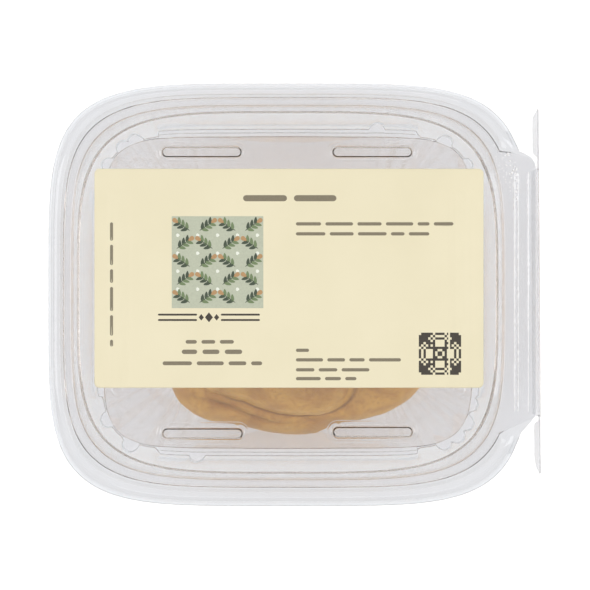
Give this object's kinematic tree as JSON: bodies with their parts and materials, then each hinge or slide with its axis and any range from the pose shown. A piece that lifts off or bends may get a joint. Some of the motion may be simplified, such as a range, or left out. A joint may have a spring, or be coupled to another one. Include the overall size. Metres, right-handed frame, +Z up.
{
  "type": "almond paste pack",
  "caption": "Folded lump of tan almond paste in a shut clear hinged tub with a domed lid, a tear strip and a cream printed label.",
  "frame": {"origin": "under the middle of the pack's bounding box, on the surface that it stands on", "axes": "+Z up through the lid; +X along the long side towards the folded tear strip; +Y towards the back, the label's upper edge"},
  "size_m": [0.131, 0.1122, 0.0512],
  "materials": {
    "clear_plastic": "clear glossy formed plastic sheet",
    "label_paper": "satin coated paper, printed",
    "almond_dough": "smooth, faintly oily tan dough"
  },
  "bodies": {
    "root": {"tub": "clear_plastic", "lid": "clear_plastic", "tear_strip": "clear_plastic", "label": "label_paper", "almond_paste": "almond_dough"}
  },
  "joints": []
}
